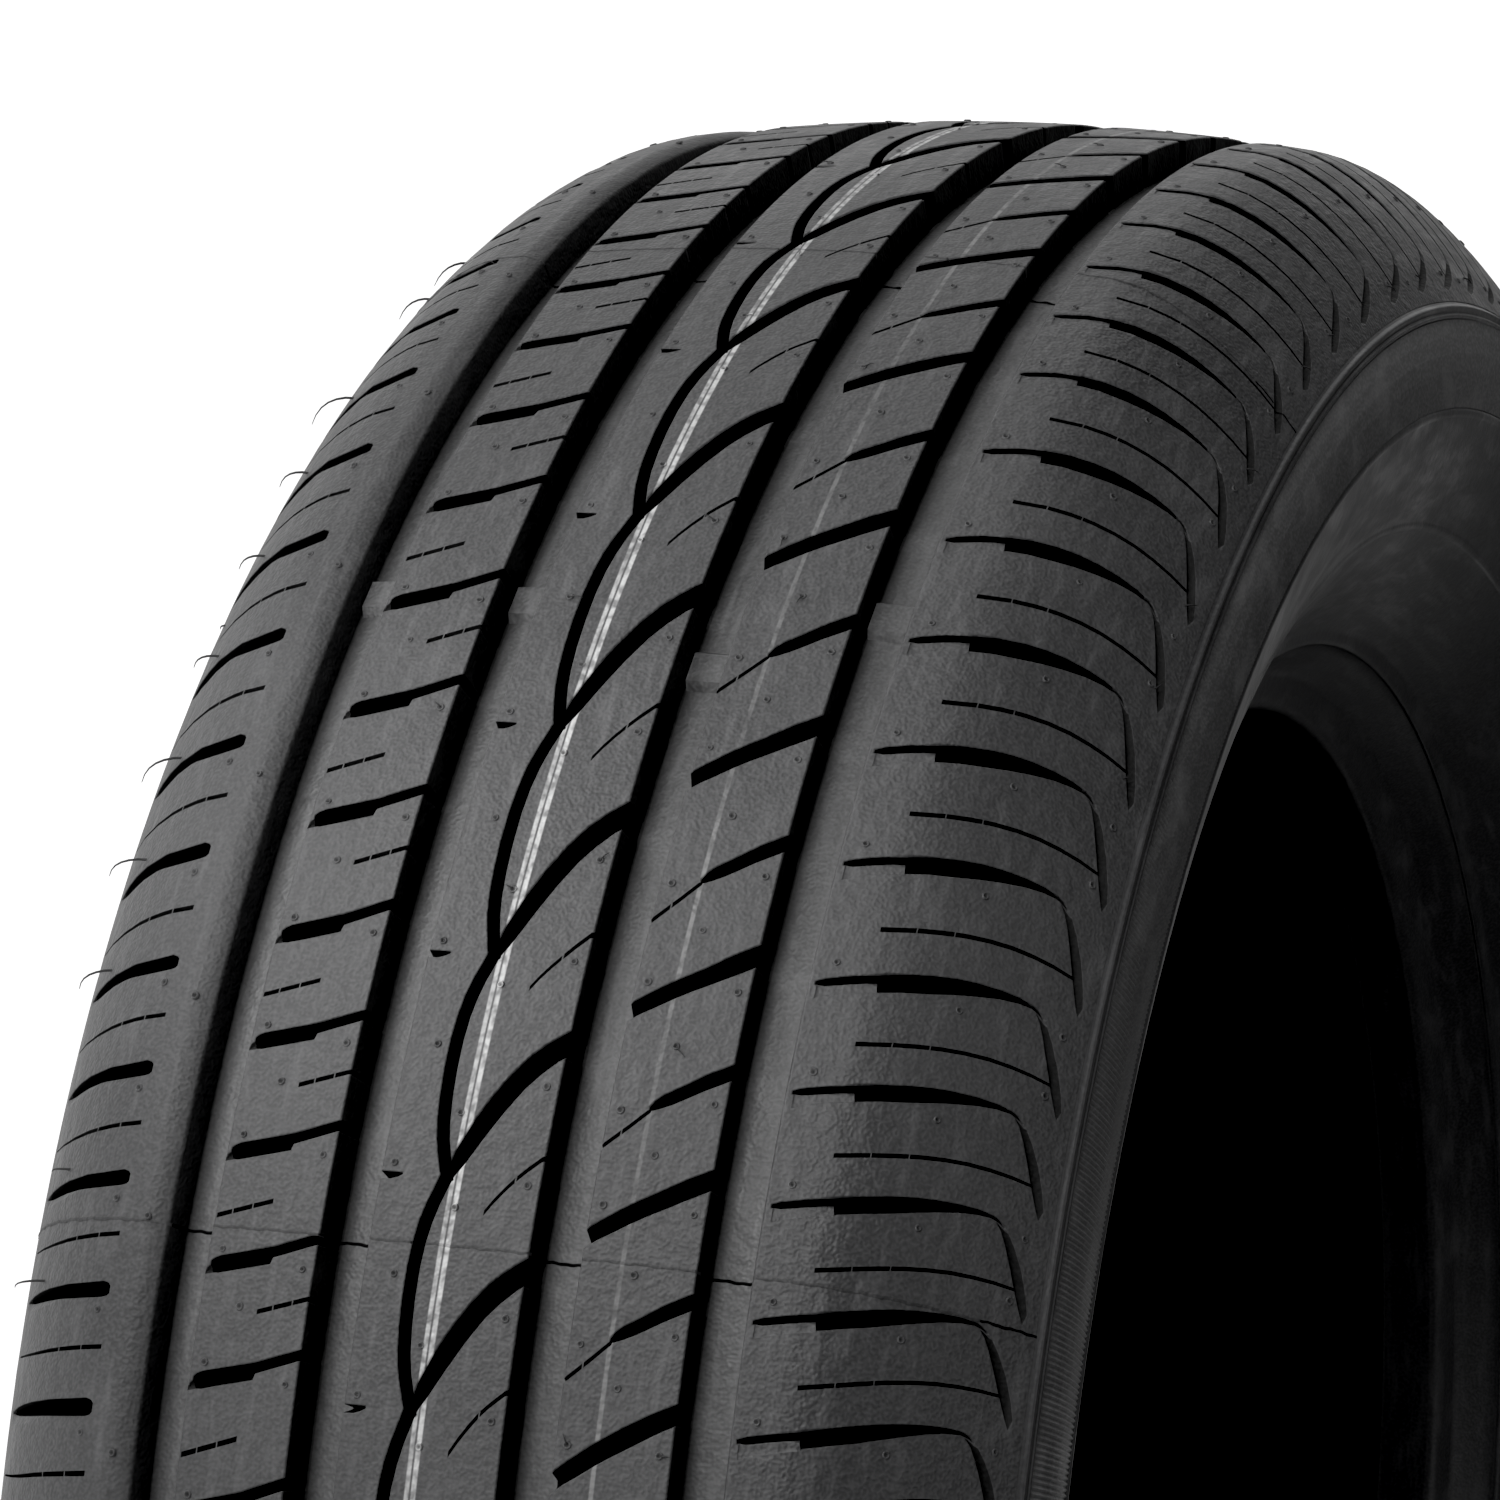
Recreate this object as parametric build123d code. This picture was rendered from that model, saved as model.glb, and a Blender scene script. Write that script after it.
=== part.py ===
from build123d import *
import math
import os

# ---- driving dimensions (mm) -------------------------------------------------
# the spin axis is +Z; the tyre lies on its left sidewall with z = 0 at the floor;
# "y" below is the distance from the mid plane along the axis, "r" the distance from the axis
CROWN_R = 338.2          # outer radius at the crown (676.4 mm overall diameter)
CROWN_ARC = 551.0        # radius of the tread arc across the crown
TREAD_HALF = 69.5        # end of the tread arc, each side
WIDE_Y = 110.3           # widest point of the sidewall, from the mid plane
SEAT_R = 202.8           # bead seat radius (16 inch rim, 405.6 mm)
SEAT_IN = 47.0           # bead toe, distance from the mid plane
SEAT_OUT = 60.0          # bead heel, distance from the mid plane
RIDGE = {1: (107.3, 299.2), -1: (104.6, 298.4)}      # moulded ridge under the right and left shoulder, as (y, r)
WIDE_R = {1: 284.5, -1: 282.5}                         # height of the widest point on each side

# circumferential grooves: left edge, right edge, depth, left wall run, right wall run
GROOVES = [
    (-60.2, -49.3, 8.0, 0.9, 1.3),
    (-26.1, -15.5, 8.0, 1.1, 1.1),
    (17.5, 28.2, 8.0, 0.9, 1.1),
    (51.0, 61.9, 8.0, 0.9, 1.1),
]
GROOVE_FILLET = 1.2
SOFT_EDGE_Y = -64.6      # the left wall of the first groove starts as a soft slope
SOFT_EDGE_DROP = 1.5

SLOT_DEPTH = 6.4         # lateral slots
DIAG_DEPTH = 7.2         # diagonal grooves of the centre rib
ARC_DEPTH = 5.2          # curved grooves of the centre rib

# one pattern pitch of the centre rib holds two pitches of the other ribs;
# three pitch lengths follow each other round the tyre in an irregular order
PITCH_START = 0.3513     # phase of the first junction, radians from +X towards -Y
PITCH_LEN = {"S": 45.2, "M": 51.6, "L": 55.6}
PITCH_SEEN = [45.1, 45.3, 52.0, 55.8, 55.0, 47.8, 51.0]      # the first seven lengths
SEAM_DEG = 20.0          # where the section's turn starts and ends
PITCH_ORDER = "LMSSLLMMSLSMMLSSLMLLSMSSLLMMLSMLSMM"           # the order of the others

# ---- pattern phase -----------------------------------------------------------
rest = (2 * math.pi * CROWN_R - sum(PITCH_SEEN)) / sum(PITCH_LEN[c] for c in PITCH_ORDER)
pitches = PITCH_SEEN + [PITCH_LEN[c] * rest for c in PITCH_ORDER]
starts = [PITCH_START]
for p in pitches:
    starts.append(starts[-1] + p / CROWN_R)
N = len(pitches)


def phase(u):
    k = math.floor(u)
    turn, i = divmod(k, N)
    return starts[i] + (u - k) * (starts[i + 1] - starts[i]) + 2 * math.pi * turn


# ---- section -----------------------------------------------------------------
def crown(y):
    return CROWN_R - (CROWN_ARC - math.sqrt(CROWN_ARC ** 2 - y * y))


# shoulders: a smooth curve from the tread arc to the ridge, held in short straight generators
SHOULDER_PULL = {1: 19.2, -1: 4.1}
SHOULDER_BEND = {1: (106.2, 301.15), -1: (93.25, 327.6)}
slope0 = TREAD_HALF / math.sqrt(CROWN_ARC ** 2 - TREAD_HALF ** 2)


def bend(t, sgn):
    pull = SHOULDER_PULL[sgn]
    ctrl = [(TREAD_HALF, crown(TREAD_HALF)), (TREAD_HALF + pull, crown(TREAD_HALF) - slope0 * pull), SHOULDER_BEND[sgn], RIDGE[sgn]]
    k = ((1 - t) ** 3, 3 * (1 - t) ** 2 * t, 3 * (1 - t) * t * t, t ** 3)
    return (sum(c[0] * w for c, w in zip(ctrl, k)), sum(c[1] * w for c, w in zip(ctrl, k)))


STEPS = (0, 0.1, 0.2, 0.3, 0.4, 0.5, 0.6, 0.72, 0.86)
SHOULDER = {sgn: [bend(t, sgn) for t in STEPS] for sgn in (1, -1)}
SIDE_UP = {1: [(108.4, 296.7), (109.7, 291.5), (WIDE_Y, WIDE_R[1])],
           -1: [(106.0, 295.4), (108.5, 289.9), (WIDE_Y, WIDE_R[-1])]}
SIDE_LOW = [(109.2, 274.0), (106.0, 263.5), (101.0, 252.3), (94.2, 241.3), (86.0, 231.3), (77.6, 223.2)]
INNER = [(48.6, 207.0), (54.0, 213.2), (62.0, 219.6), (72.5, 228.9), (82.0, 239.3), (90.0, 250.0),
         (96.0, 261.0), (99.8, 272.0), (100.2, 282.5), (96.2, 292.5), (88.0, 302.0), (76.0, 311.0), (60.0, 317.4),
         (38.0, 321.2), (0.0, 322.6)]


def surface(y):
    a, line_ = abs(y), SHOULDER[1 if y > 0 else -1]
    if a <= TREAD_HALF:
        return crown(a)
    for (y0, r0), (y1, r1) in zip(line_, line_[1:]):
        if a <= y1:
            return r0 + (r1 - r0) * (a - y0) / (y1 - y0)
    return line_[-1][1]


def P(y, r):
    return Vector(r, 0, y + WIDE_Y)


edges = []


def line(a, b):
    edges.append(Edge.make_line(P(*a), P(*b)))


def arc(a, m, b):
    edges.append(Edge.make_three_point_arc(P(*a), P(*m), P(*b)))


def spline(pts, t0=None, t1=None):
    """smooth curve through the points, laid as short arcs; an end tangent (dy, dr) is held where it is given"""
    if t0 is None and t1 is None:
        whole = Edge.make_spline([P(*p) for p in pts])
    else:
        chord = lambda a, b: (b[0] - a[0], b[1] - a[1])
        t0 = t0 or chord(pts[0], pts[1])
        t1 = t1 or chord(pts[-2], pts[-1])
        whole = Edge.make_spline([P(*p) for p in pts], tangents=[Vector(t[1], 0, t[0]).normalized() for t in (t0, t1)])
    k = len(pts) - 1
    q = [whole.position_at(i / (2 * k)) for i in range(2 * k + 1)]
    q[0], q[-1] = P(*pts[0]), P(*pts[-1])
    for i in range(k):
        edges.append(Edge.make_three_point_arc(q[2 * i], q[2 * i + 1], q[2 * i + 2]))


def rib(y0, y1):
    line((y0, crown(y0)), (y1, crown(y1)))


def rounded(a, c, b, rad):
    """line a to the rounding at corner c, the rounding, returns where it ends"""
    u = Vector(a[0] - c[0], a[1] - c[1], 0).normalized()
    v = Vector(b[0] - c[0], b[1] - c[1], 0).normalized()
    half = math.acos(max(-1, min(1, u.dot(v)))) / 2
    t = rad / math.tan(half)
    bis = (u + v).normalized()
    o = (c[0] + bis.X * rad / math.sin(half), c[1] + bis.Y * rad / math.sin(half))
    s = (c[0] + u.X * t, c[1] + u.Y * t)
    e = (c[0] + v.X * t, c[1] + v.Y * t)
    mid = (o[0] - bis.X * rad, o[1] - bis.Y * rad)
    line(a, s)
    arc(s, mid, e)
    return e


# left bead seat to the right bead seat over the outside
def side_outline(sgn):
    """one outside half from the bead seat to the tread arc, as drawn on the right"""
    m = lambda p: (sgn * p[0], p[1])
    heel = 3.4
    heel0 = (SEAT_OUT, SEAT_R)
    heel1 = (SEAT_OUT + heel, SEAT_R + heel)
    heelm = (SEAT_OUT + heel * math.sin(math.pi / 4), SEAT_R + heel * (1 - math.cos(math.pi / 4)))
    face1 = (SEAT_OUT + 4.6, SEAT_R + 8.0)
    lip0 = (74.6, 219.6)
    lip1 = (76.2, 218.9)
    ry, rr = RIDGE[sgn]
    lift = 1.1 if sgn > 0 else 0.8
    base = (ry + 0.55, rr - 1.6)
    out = (ry + lift, rr - 0.8)
    top = (ry + 0.25, rr + 0.6)
    end = bend(0.95, sgn)
    low = [(WIDE_Y, WIDE_R[sgn])] + SIDE_LOW
    return [
        ("arc", m(heel0), m(heelm), m(heel1)),
        ("line", m(heel1), m(face1)),
        ("spline", [m(face1), m((68.6, 215.0)), m(lip0)], None, None),
        ("line", m(lip0), m(lip1)),
        ("line", m(lip1), m(low[-1])),
        ("spline", [m(p) for p in reversed(low)], None, (0, 1)),
        ("spline", [m(p) for p in reversed(SIDE_UP[sgn])], (0, 1), None),
        ("line", m(SIDE_UP[sgn][0]), m(base)),
        ("line", m(base), m(out)),
        ("line", m(out), m(top)),
        ("line", m(top), m(end)),
    ] + [("line", m(p), m(q)) for p, q in zip([end] + SHOULDER[sgn][:0:-1], SHOULDER[sgn][::-1])]


def emit(seq, reverse):
    for item in (reversed(seq) if reverse else seq):
        kind = item[0]
        if kind == "line":
            a, b = item[1], item[2]
            line(b, a) if reverse else line(a, b)
        elif kind == "arc":
            a, q, b = item[1:]
            arc(b, q, a) if reverse else arc(a, q, b)
        else:
            pts, t0, t1 = item[1:]
            if reverse:
                neg = lambda t: None if t is None else (-t[0], -t[1])
                spline(list(reversed(pts)), neg(t1), neg(t0))
            else:
                spline(pts, t0, t1)


emit(side_outline(-1), False)

at = -TREAD_HALF
for i, (yl, yr, dep, dl, dr) in enumerate(GROOVES):
    floor_l = (yl + dl, crown(yl + dl) - dep)
    floor_r = (yr - dr, crown(yr - dr) - dep)
    if i == 0:
        rib(at, SOFT_EDGE_Y)
        top = (yl, crown(yl) - SOFT_EDGE_DROP)
        start = rounded((SOFT_EDGE_Y, crown(SOFT_EDGE_Y)), top, floor_l, 2.0)
    else:
        rib(at, yl)
        start = (yl, crown(yl))
    start = rounded(start, floor_l, floor_r, GROOVE_FILLET)
    start = rounded(start, floor_r, (yr, crown(yr)), GROOVE_FILLET)
    line(start, (yr, crown(yr)))
    at = yr
rib(at, TREAD_HALF)

emit(side_outline(1), True)

# right bead seat, inner liner, left bead seat
line((SEAT_OUT, SEAT_R), (SEAT_IN, SEAT_R))
line((SEAT_IN, SEAT_R), INNER[0])
liner = INNER + [(-y, r) for y, r in reversed(INNER[:-1])]
spline(liner)
line((-INNER[0][0], INNER[0][1]), (-SEAT_IN, SEAT_R))
line((-SEAT_IN, SEAT_R), (-SEAT_OUT, SEAT_R))

section = Face(Wire(edges))
carcass = Solid.revolve(section, 360, Axis.Z).rotate(Axis.Z, SEAM_DEG)


# ---- slot tools --------------------------------------------------------------
EY = Vector(0, 0, 1)
MID = EY * WIDE_Y
ABOVE = 4.0


def radial(phi):
    return Vector(math.cos(phi), -math.sin(phi), 0)


def tangent(phi):
    return Vector(-math.sin(phi), -math.cos(phi), 0)


def pocket(stations, depth):
    """upright walled pocket; stations run across the tread as (y, u, width along the circumference)"""
    y_mid = (stations[0][0] + stations[-1][0]) / 2
    u_mid = (stations[0][1] + stations[-1][1]) / 2
    phi = phase(u_mid)
    lo = [(y, (phase(u) - phi) * CROWN_R - w / 2) for y, u, w in stations]
    hi = [(y, (phase(u) - phi) * CROWN_R + w / 2) for y, u, w in stations]
    return upright(lo + hi[::-1], y_mid, phi, depth)


def trench(stations, depth):
    """upright walled curved groove; stations run round the tyre as (u, y, width across)"""
    y_mid = sum(y for u, y, w in stations) / len(stations)
    phi = phase((stations[0][0] + stations[-1][0]) / 2)
    lo = [(y - w / 2, (phase(u) - phi) * CROWN_R) for u, y, w in stations]
    hi = [(y + w / 2, (phase(u) - phi) * CROWN_R) for u, y, w in stations]
    return upright(lo + hi[::-1], y_mid, phi, depth)


def upright(outline, y_mid, phi, depth):
    er, et = radial(phi), tangent(phi)
    slope = math.atan2(y_mid, math.sqrt(CROWN_ARC ** 2 - y_mid ** 2))
    normal = er * math.cos(slope) + EY * math.sin(slope)
    across = EY * math.cos(slope) - er * math.sin(slope)
    floor = MID + er * crown(y_mid) + EY * y_mid - normal * depth
    pts = [floor + across * ((y - y_mid) / math.cos(slope)) + et * t for y, t in outline]
    return Solid.extrude(Face(Wire.make_polygon(pts, close=True)), normal * (depth + ABOVE))


def blade(profile, u0, u1, w0, w1):
    """flat walled slot over the shoulder; profile is (y, r of the floor), its width tapers from w0 to w1"""
    y0, y1 = profile[0][0], profile[-1][0]
    p0, p1 = phase(u0), phase(u1)
    phi = (p0 + p1) / 2
    er, et = radial(phi), tangent(phi)
    shift = lambda y: ((y - y0) / (y1 - y0) - 0.5) * (p1 - p0) * CROWN_R
    width = lambda y: w0 + (w1 - w0) * (y - y0) / (y1 - y0)
    top = max(surface(y0), surface(y1)) + ABOVE
    ring = list(profile) + [(y1, top), (y0, top)]
    left = [MID + er * r + EY * y + et * (shift(y) - width(y) / 2) for y, r in ring]
    right = [MID + er * r + EY * y + et * (shift(y) + width(y) / 2) for y, r in ring]
    faces = [Face(Wire.make_polygon(left, close=True)), Face(Wire.make_polygon(right, close=True))]
    for i in range(len(ring)):
        j = (i + 1) % len(ring)
        faces.append(Face(Wire.make_polygon([left[i], left[j], right[j], right[i]], close=True)))
    return Solid(Shell(faces))


tools = []
for n in range(N):
    # centre rib: curve from junction to junction, and the diagonal into the third groove
    tools.append(trench([(n + 0.03, -2.75, 2.0), (n + 0.12, -3.8, 2.0), (n + 0.22, -4.8, 2.0), (n + 0.36, -5.75, 2.0),
                         (n + 0.5, -6.1, 2.0), (n + 0.64, -5.8, 2.1), (n + 0.78, -4.8, 2.2),
                         (n + 0.88, -3.7, 2.4), (n + 0.955, -2.7, 2.5)], ARC_DEPTH))
    tools.append(pocket([(-1.25, n + 0.035, 4.0), (0.0, n + 0.094, 5.6), (1.6, n + 0.168, 5.9), (3.3, n + 0.24, 5.8), (5.2, n + 0.315, 5.5),
                         (7.2, n + 0.387, 5.2), (9.4, n + 0.453, 4.9), (11.7, n + 0.51, 4.6), (14.0, n + 0.56, 4.4),
                         (16.1, n + 0.60, 4.2), (19.8, n + 0.655, 4.2)], DIAG_DEPTH))
    # notch in the left edge of the centre rib
    tools.append(pocket([(-17.0, n - 0.036, 1.5), (-11.2, n - 0.028, 0.4)], 4.5))
    # fourth rib: a full slot and a half slot
    tools.append(pocket([(26.4, n + 0.728, 3.0), (30.5, n + 0.803, 3.0), (35.0, n + 0.878, 3.0), (40.0, n + 0.95, 3.0), (46.0, n + 1.027, 2.9),
                         (53.0, n + 1.105, 2.9)], SLOT_DEPTH))
    tools.append(pocket([(37.0, n + 0.366, 2.6), (41.0, n + 0.433, 2.9), (46.0, n + 0.508, 2.9), (53.0, n + 0.592, 2.9)], SLOT_DEPTH))
    for h in (0.0, 0.5):
        k = n + h
        # second rib: wide blind end, step, narrow mouth in the second groove
        tools.append(pocket([(-48.4, k + 0.006, 1.6), (-47.7, k + 0.01, 2.5), (-35.3, k + 0.065, 2.5),
                             (-35.2, k + 0.076, 1.4), (-24.4, k + 0.157, 1.4)], SLOT_DEPTH))
        # left shoulder
        tools.append(blade([(y, surface(y) - d) for y, d in ((-70.0, SLOT_DEPTH), (-79.0, 6.0), (-89.0, 4.4), (-100.0, 0.4))],
                           k - 0.135, k - 0.178, 2.4, 1.0))
        # right shoulder: narrow start, step, wide tapering slot
        tools.append(blade([(60.2, surface(60.2) - 6.2), (74.9, surface(74.9) - 6.2)], k - 0.016, k + 0.046, 1.15, 1.15))
        tools.append(blade([(y, surface(y) - d) for y, d in ((74.2, SLOT_DEPTH), (83.0, 5.6), (91.0, 4.0), (100.0, 0.4))],
                           k + 0.032, k + 0.165, 3.0, 0.9))

tyre = carcass.cut(*tools)
if isinstance(tyre, ShapeList):
    tyre = max(tyre, key=lambda s: s.volume)
os.makedirs("parts", exist_ok=True)
export_step(tyre, "parts/tyre.step", write_pcurves=False)
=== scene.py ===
import bpy
import math
import numpy as np
from mathutils import Matrix, Vector
from mathutils.geometry import delaunay_2d_cdt


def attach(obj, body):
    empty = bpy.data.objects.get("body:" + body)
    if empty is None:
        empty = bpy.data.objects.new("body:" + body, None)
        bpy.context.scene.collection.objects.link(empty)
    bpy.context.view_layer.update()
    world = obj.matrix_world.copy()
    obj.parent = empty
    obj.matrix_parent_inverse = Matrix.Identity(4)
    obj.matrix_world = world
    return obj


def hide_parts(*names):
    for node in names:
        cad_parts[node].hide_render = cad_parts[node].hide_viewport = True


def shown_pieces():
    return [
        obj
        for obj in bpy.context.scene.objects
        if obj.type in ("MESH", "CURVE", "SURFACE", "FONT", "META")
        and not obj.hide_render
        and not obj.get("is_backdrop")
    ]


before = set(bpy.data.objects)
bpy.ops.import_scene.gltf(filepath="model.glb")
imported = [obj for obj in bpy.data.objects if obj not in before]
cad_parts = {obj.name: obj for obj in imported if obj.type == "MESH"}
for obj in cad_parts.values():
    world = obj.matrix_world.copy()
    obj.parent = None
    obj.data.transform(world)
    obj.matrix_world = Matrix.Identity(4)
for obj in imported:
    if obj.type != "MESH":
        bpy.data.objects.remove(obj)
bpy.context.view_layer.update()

# ---- dimensions (mm) ---------------------------------------------------------
# "a" runs over the tread surface across the tyre from the mid plane, "s" round it; lengths in mm until the last step
CROWN_R, CROWN_ARC, TREAD_HALF = 338.2, 551.0, 69.5
WIDE_Y = 110.3
RIDGE = {1: (107.3, 299.2), -1: (104.6, 298.4)}          # end of the right and left shoulder, as (y, r)
SHOULDER_PULL = {1: 19.2, -1: 4.1}
SHOULDER_BEND = {1: (106.2, 301.15), -1: (93.25, 327.6)}
PITCH_START = 0.3513
PITCH_LEN = {"S": 45.2, "M": 51.6, "L": 55.6}
PITCH_SEEN = [45.1, 45.3, 52.0, 55.8, 55.0, 47.8, 51.0]
PITCH_ORDER = "LMSSLLMMSLSMMLSSLMLLSMSSLLMMLSMLSMM"
P = 50.6                      # mean pitch, the unit cell's length
rest = (2 * math.pi * CROWN_R - sum(PITCH_SEEN)) / sum(PITCH_LEN[c] for c in PITCH_ORDER)
lengths = PITCH_SEEN + [PITCH_LEN[c] * rest for c in PITCH_ORDER]
N = len(lengths)
starts = PITCH_START + np.r_[0, np.cumsum(lengths)] / CROWN_R


def phase(u):
    u = np.asarray(u, float)
    k = np.floor(u).astype(int)
    turn, i = np.divmod(k, N)
    return starts[i] + (u - k) * (starts[i + 1] - starts[i]) + 2 * math.pi * turn


def pitch_at(ph):
    """position in pitches of a phase angle"""
    return float(np.interp((ph - PITCH_START) % (2 * math.pi), starts - PITCH_START, np.arange(N + 1)))


def crown(y):
    return CROWN_R - (CROWN_ARC - math.sqrt(CROWN_ARC ** 2 - y * y))


# ---- outer surface by arc length --------------------------------------------
slope0 = TREAD_HALF / math.sqrt(CROWN_ARC ** 2 - TREAD_HALF ** 2)
tt = np.linspace(0, 1, 801)[:, None]
th = np.linspace(0, math.asin(TREAD_HALF / CROWN_ARC), 200)
arc_pts = np.stack([CROWN_ARC * np.sin(th), CROWN_R - CROWN_ARC * (1 - np.cos(th))], 1)
TABLE, A_END = {}, {}
for sgn in (1, -1):
    pull = SHOULDER_PULL[sgn]
    ctrl = np.array([(TREAD_HALF, crown(TREAD_HALF)), (TREAD_HALF + pull, crown(TREAD_HALF) - slope0 * pull), SHOULDER_BEND[sgn], RIDGE[sgn]])
    bez = ctrl[0] * (1 - tt) ** 3 + 3 * ctrl[1] * (1 - tt) ** 2 * tt + 3 * ctrl[2] * (1 - tt) * tt ** 2 + ctrl[3] * tt ** 3
    prof = np.vstack([arc_pts[:-1], bez])
    parc = np.r_[0, np.cumsum(np.linalg.norm(np.diff(prof, axis=0), axis=1))]
    tan = np.gradient(prof, parc, axis=0)
    tan /= np.linalg.norm(tan, axis=1)[:, None]
    TABLE[sgn] = (parc, prof, tan)
    A_END[sgn] = float(parc[-1]) - 0.6
A_L, A_R = -A_END[-1], A_END[1]


def surf(a):
    """(y, r, outward normal's y and r) at arc length a"""
    a = np.asarray(a, float)
    out = [np.zeros_like(a) for _ in range(4)]
    for sgn in (1, -1):
        k = a >= 0 if sgn > 0 else a < 0
        parc, prof, tan = TABLE[sgn]
        b = np.abs(a[k])
        out[0][k] = sgn * np.interp(b, parc, prof[:, 0])
        out[1][k] = np.interp(b, parc, prof[:, 1])
        out[2][k] = -sgn * np.interp(b, parc, tan[:, 1])
        out[3][k] = np.interp(b, parc, tan[:, 0])
    return out


# ---- tread features ----------------------------------------------------------
class Stroke:
    """A cut whose two edges are given at stations along one direction of the tread.
    across=True: stations are (a, s_low, s_high); across=False: stations are (s, a_low, a_high).
    wall is how far the wall runs in under each edge, one value or (low side, high side)."""

    def __init__(self, stations, depth, across=True, bevel=0.35, drop=None, wall=0.3, foot=0.3, lift=0.4, least=0.04):
        st = np.array(stations, float)
        self.t, self.m, self.h = st[:, 0], (st[:, 1] + st[:, 2]) / 2, np.maximum((st[:, 2] - st[:, 1]) / 2, 0.02)
        grad = np.gradient(self.m, self.t)
        self.c = np.sqrt(1 + np.clip(grad, -4, 4) ** 2)
        self.depth = np.array(depth if hasattr(depth, "__len__") else [depth] * len(st), float)
        self.wall = wall if hasattr(wall, "__len__") else (wall, wall)
        self.across, self.bevel, self.foot, self.lift, self.least = across, bevel, foot, lift, least
        self.drop = bevel if drop is None else drop

    def moved(self, ds):
        """the same cut moved round the tyre"""
        o = object.__new__(Stroke)
        o.__dict__ = dict(self.__dict__)
        if self.across:
            o.m = self.m + ds
        else:
            o.t = self.t + ds
        return o

    def middle(self, t):
        """centre line, carried on straight past the ends"""
        m = np.interp(t, self.t, self.m)
        lo, hi = t < self.t[0], t > self.t[-1]
        m = np.where(lo, self.m[0] + (t - self.t[0]) * (self.m[1] - self.m[0]) / (self.t[1] - self.t[0]), m)
        return np.where(hi, self.m[-1] + (t - self.t[-1]) * (self.m[-1] - self.m[-2]) / (self.t[-1] - self.t[-2]), m)

    def rings(self):
        wl, wh = self.wall
        we = min(wl, wh)
        offs = ([(self.bevel,) * 3] if self.bevel else []) + [(0.0,) * 3, (-wl, -wh, -we)]
        if self.foot:
            offs.append((-wl - self.foot, -wh - self.foot, -we - self.foot))
        out = []
        for dl, dh, de in offs:
            t = self.t.copy()
            t[0], t[-1] = min(self.t[0] - de, self.t[1] - 0.02), max(self.t[-1] + de, self.t[-2] + 0.02)
            m, h = self.middle(t), np.interp(t, self.t, self.h)
            low, high = m - h - dl * self.c, m + h + dh * self.c
            mid, gap = (low + high) / 2, self.least * self.c
            thin = high - low < 2 * gap
            low, high = np.where(thin, mid - gap, low), np.where(thin, mid + gap, high)
            ring = np.vstack([np.stack([t, low], 1), np.stack([t, high], 1)[::-1]])
            out.append(ring if self.across else ring[:, ::-1])
        return out

    def cut(self, a, s):
        t, x = (a, s) if self.across else (s, a)
        m = self.middle(t)
        h, c, deep = (np.interp(t, self.t, q) for q in (self.h, self.c, self.depth))
        b, f = max(self.bevel, 1e-6), max(self.foot, 1e-6)
        lift = np.minimum(self.lift, deep * 0.5) if self.foot else 0 * deep
        drop = np.minimum(self.drop, deep * 0.8)

        def flank(d, w):
            out = np.where(d <= -b, 0.0, drop * (b + d) / b)
            out = np.where(d > 0, drop + (deep - lift - drop) * np.clip(d / w, 0, 1), out)
            return np.where(d > w, deep - lift + lift * np.clip((d - w) / f, 0, 1), out)

        wl, wh = self.wall
        sides = np.minimum(flank((x - m + h) / c, wl), flank((m + h - x) / c, wh))
        return np.minimum(sides, flank(np.minimum(t - self.t[0], self.t[-1] - t), min(wl, wh)))


def U(rows):
    """stations with the circumferential values given in pitches"""
    return [(a, lo * P, hi * P) for a, lo, hi in rows]


def sipe(points, depth, width=0.7, gaps=(), bridge=0.13):
    """thin cuts along a line of (a, u), broken at the given a by small bridges; width is one value or one for each point"""
    pts = np.array(points, float)
    wid = np.array(width if hasattr(width, "__len__") else [width] * len(pts), float)
    lo, hi = pts[0, 0], pts[-1, 0]
    cuts, out = [lo] + [g for g in gaps] + [hi], []
    for i in range(len(cuts) - 1):
        b = cuts[i] + (bridge if i else 0)
        e = cuts[i + 1] - (bridge if i + 1 < len(cuts) - 1 else 0)
        inner = [x for x in pts[1:-1, 0] if b + 1 < x < e - 1]
        rows, deep = [], []
        for a in [b] + inner + [e]:
            s, w = np.interp(a, pts[:, 0], pts[:, 1]) * P, np.interp(a, pts[:, 0], wid)
            rows.append((a, s - w / 2, s + w / 2))
            deep.append(depth * min(1, w / 0.6))
        out.append(Stroke(rows, deep, bevel=0, drop=0, wall=0.16, foot=0, lift=0, least=0.03))
    return out


SLOT, DIAG, ARC = 6.4, 7.2, 5.2
cell = []
# centre rib: curve from junction to junction
ARC_ROWS = [(-0.04, -1.5, 1.3), (0.03, -2.5, 1.3), (0.08, -3.2, 1.3), (0.14, -3.95, 1.3), (0.22, -4.6, 1.3), (0.33, -5.1, 1.3), (0.45, -5.35, 1.3),
            (0.58, -5.35, 1.3), (0.69, -5.0, 1.3), (0.78, -4.4, 1.35), (0.86, -3.5, 1.35), (0.93, -2.45, 1.35), (0.985, -1.65, 1.4)]
cell.append(Stroke([(u * P, a - w, a + w) for u, a, w in ARC_ROWS], ARC, across=False, bevel=0.25, wall=0.25, foot=0.25))
# diagonal from the junction into the third groove
cell.append(Stroke(U([(-1.75, -0.015, 0.022), (-0.7, -0.030, 0.105), (1.7, 0.055, 0.228), (4.4, 0.166, 0.342), (7.5, 0.285, 0.450),
                      (10.6, 0.390, 0.537), (13.3, 0.460, 0.592), (16.3, 0.524, 0.644), (20.0, 0.580, 0.700)]), DIAG, bevel=0.4, drop=0.35, wall=(0.8, 0.35), foot=0.4))
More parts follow.
